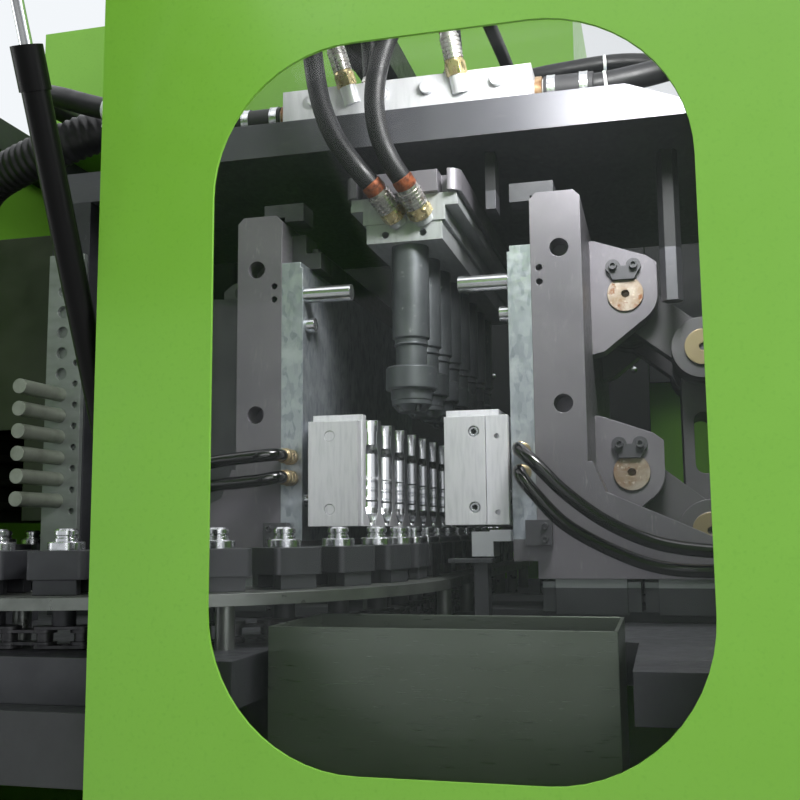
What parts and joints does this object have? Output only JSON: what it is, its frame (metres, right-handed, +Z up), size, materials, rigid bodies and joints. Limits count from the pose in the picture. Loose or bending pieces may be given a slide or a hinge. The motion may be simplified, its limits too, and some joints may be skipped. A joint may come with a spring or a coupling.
{
  "type": "blow moulding machine",
  "caption": "Free-standing bottle blow moulding machine: green enclosure with a windowed guard, toggle clamp, eight-cavity mould and a mandrel chain.",
  "frame": {"origin": "floor level, at the middle of the whole machine's box with the lift door open", "axes": "+X to the right along the front, +Y to the rear, +Z up"},
  "size_m": [1.8, 2.449, 2.192],
  "materials": {
    "green_paint": "satin powder coat with a slight orange peel",
    "frame_paint": "dark grey satin paint",
    "platen_steel": "dark ground steel with brushed arcs",
    "link_steel": "dark cast and milled links",
    "zinc_plate": "zinc plated, mottled",
    "mould_aluminium": "milled aluminium, cavities polished",
    "bright_steel": "ground bright steel",
    "pin_steel": "turned pins with light rust",
    "stainless": "brushed stainless sheet",
    "plate_aluminium": "milled aluminium",
    "clear_pane": "clear polycarbonate",
    "black_rubber": "black hose rubber, glossy",
    "black_paint": "black gloss",
    "chrome": "hard chrome",
    "dark_chain": "oiled dark steel",
    "motor_black": "black motor paint"
  },
  "bodies": {
    "machine": {"base_frame": "frame_paint", "levelling_feet": "bright_steel", "bed_plate": "platen_steel", "enclosure_frame": "frame_paint", "front_guard_panel": "green_paint", "window_pane": "clear_pane", "body_panels": "green_paint", "upper_cabinet": "green_paint", "door_hinges": "bright_steel", "top_plate": "platen_steel", "tail_platens": "platen_steel", "clamp_rails": "bright_steel", "clamp_drives": "motor_black", "mandrel_track": "bright_steel", "mandrel_chain": "dark_chain", "mandrel_carriers": "platen_steel", "mandrels": "bright_steel", "nozzle_frame": "frame_paint", "oven_housing": "stainless", "oven_end_plate": "plate_aluminium", "oven_rods": "bright_steel", "clevis_bracket": "platen_steel", "air_cylinder": "dark_chain", "stainless_tray": "stainless", "top_manifold": "plate_aluminium", "machine_hoses": "black_rubber", "lift_cylinders": "plate_aluminium", "base_hoses": "black_rubber"},
    "door": {"lift_door": "green_paint"},
    "strut_bodies": {"strut_cylinders": "black_paint"},
    "strut_pistons": {"strut_rods": "chrome"},
    "base_unit": {"lift_plate": "platen_steel", "water_manifold": "plate_aluminium", "base_moulds": "mould_aluminium"},
    "stretch_unit": {"stretch_rods": "bright_steel"},
    "blow_unit": {"blow_nozzles": "plate_aluminium"},
    "upper_crank_right": {"rear_link_upper_right": "link_steel"},
    "upper_fork_right": {"front_link_upper_right": "link_steel"},
    "moving_platen_right": {"platen_right": "platen_steel", "back_plate_right": "zinc_plate", "mould_half_right": "mould_aluminium", "water_hoses_right": "black_rubber", "runner_blocks_right": "bright_steel", "toggle_pins_right": "pin_steel", "clamp_hardware_right": "bright_steel"},
    "lower_crank_right": {"rear_link_lower_right": "link_steel"},
    "lower_fork_right": {"front_link_lower_right": "link_steel"},
    "knee_beam_right": {"knee_bar_right": "link_steel"},
    "upper_crank_left": {"rear_link_upper_left": "link_steel"},
    "upper_fork_left": {"front_link_upper_left": "link_steel"},
    "moving_platen_left": {"platen_left": "platen_steel", "back_plate_left": "zinc_plate", "mould_half_left": "mould_aluminium", "water_hoses_left": "black_rubber", "runner_blocks_left": "bright_steel", "toggle_pins_left": "pin_steel", "clamp_hardware_left": "bright_steel"},
    "lower_crank_left": {"rear_link_lower_left": "link_steel"},
    "lower_fork_left": {"front_link_lower_left": "link_steel"},
    "knee_beam_left": {"knee_bar_left": "link_steel"}
  },
  "joints": [
    {"name": "clamp_drive_turn", "type": "hinge", "parent": "machine", "child": "upper_crank_right", "pos_m": [0.4995, 0.44249, 1.452], "axis": [0, 1, 0], "range_deg": [0, 38.43]},
    {"name": "upper_knee_right", "type": "hinge", "parent": "upper_crank_right", "child": "upper_fork_right", "pos_m": [0.4055, 0.44249, 1.37741], "axis": [0, 1, 0], "range_deg": [-76.87, 0]},
    {"name": "platen_pin_right", "type": "hinge", "parent": "upper_fork_right", "child": "moving_platen_right", "pos_m": [0.3115, 0.44249, 1.452], "axis": [0, 1, 0], "range_deg": [0, 38.43]},
    {"name": "lower_shaft_right", "type": "hinge", "parent": "machine", "child": "lower_crank_right", "pos_m": [0.4995, 0.44249, 1.22], "axis": [0, 1, 0], "range_deg": [0, 38.43]},
    {"name": "lower_knee_right", "type": "hinge", "parent": "lower_crank_right", "child": "lower_fork_right", "pos_m": [0.4055, 0.44249, 1.14541], "axis": [0, 1, 0], "range_deg": [-76.87, 0]},
    {"name": "knee_beam_pin_right", "type": "hinge", "parent": "upper_crank_right", "child": "knee_beam_right", "pos_m": [0.4055, 0.44249, 1.37741], "axis": [0, 1, 0], "range_deg": [-38.43, 0]},
    {"name": "left_drive_turn", "type": "hinge", "parent": "machine", "child": "upper_crank_left", "pos_m": [-0.3995, 0.44249, 1.452], "axis": [0, -1, 0], "range_deg": [0, 38.43]},
    {"name": "upper_knee_left", "type": "hinge", "parent": "upper_crank_left", "child": "upper_fork_left", "pos_m": [-0.3055, 0.44249, 1.37741], "axis": [0, -1, 0], "range_deg": [-76.87, 0]},
    {"name": "platen_pin_left", "type": "hinge", "parent": "upper_fork_left", "child": "moving_platen_left", "pos_m": [-0.2115, 0.44249, 1.452], "axis": [0, -1, 0], "range_deg": [0, 38.43]},
    {"name": "lower_shaft_left", "type": "hinge", "parent": "machine", "child": "lower_crank_left", "pos_m": [-0.3995, 0.44249, 1.22], "axis": [0, -1, 0], "range_deg": [0, 38.43]},
    {"name": "lower_knee_left", "type": "hinge", "parent": "lower_crank_left", "child": "lower_fork_left", "pos_m": [-0.3055, 0.44249, 1.14541], "axis": [0, -1, 0], "range_deg": [-76.87, 0]},
    {"name": "knee_beam_pin_left", "type": "hinge", "parent": "upper_crank_left", "child": "knee_beam_left", "pos_m": [-0.3055, 0.44249, 1.37741], "axis": [0, -1, 0], "range_deg": [-38.43, 0]},
    {"name": "base_mould_lift", "type": "slide", "parent": "machine", "child": "base_unit", "axis": [0, 0, 1], "range_m": [-0.02, 0], "deforming": ["base_hoses"]},
    {"name": "stretch_lift", "type": "slide", "parent": "machine", "child": "stretch_unit", "axis": [0, 0, 1], "range_m": [0, 0.22]},
    {"name": "blow_lift", "type": "slide", "parent": "machine", "child": "blow_unit", "axis": [0, 0, 1], "range_m": [0, 0.012]},
    {"name": "door_swing", "type": "hinge", "parent": "machine", "child": "door", "pos_m": [0, -0.28351, 1.902], "axis": [1, 0, 0], "range_deg": [0, 70]},
    {"name": "strut_foot", "type": "hinge", "parent": "machine", "child": "strut_bodies", "pos_m": [0, -0.21251, 1.16], "axis": [1, 0, 0], "range_deg": [-19.47, 0]},
    {"name": "strut_slide", "type": "slide", "parent": "strut_bodies", "child": "strut_pistons", "axis": [0, -0.4125, 0.9109], "range_m": [-0.19181, 0]}
  ],
  "couplings": [
    {"joint": "upper_knee_right", "follows": "clamp_drive_turn", "ratio": -2},
    {"joint": "platen_pin_right", "follows": "clamp_drive_turn", "ratio": 1},
    {"joint": "lower_shaft_right", "follows": "clamp_drive_turn", "ratio": 1},
    {"joint": "lower_knee_right", "follows": "clamp_drive_turn", "ratio": -2},
    {"joint": "knee_beam_pin_right", "follows": "clamp_drive_turn", "ratio": -1},
    {"joint": "left_drive_turn", "follows": "clamp_drive_turn", "ratio": 1},
    {"joint": "upper_knee_left", "follows": "clamp_drive_turn", "ratio": -2},
    {"joint": "platen_pin_left", "follows": "clamp_drive_turn", "ratio": 1},
    {"joint": "lower_shaft_left", "follows": "clamp_drive_turn", "ratio": 1},
    {"joint": "lower_knee_left", "follows": "clamp_drive_turn", "ratio": -2},
    {"joint": "knee_beam_pin_left", "follows": "clamp_drive_turn", "ratio": -1},
    {"joint": "strut_foot", "follows": "door_swing", "ratio": -0.27813},
    {"joint": "strut_slide", "follows": "door_swing", "m_per_rad": -0.15692}
  ]
}
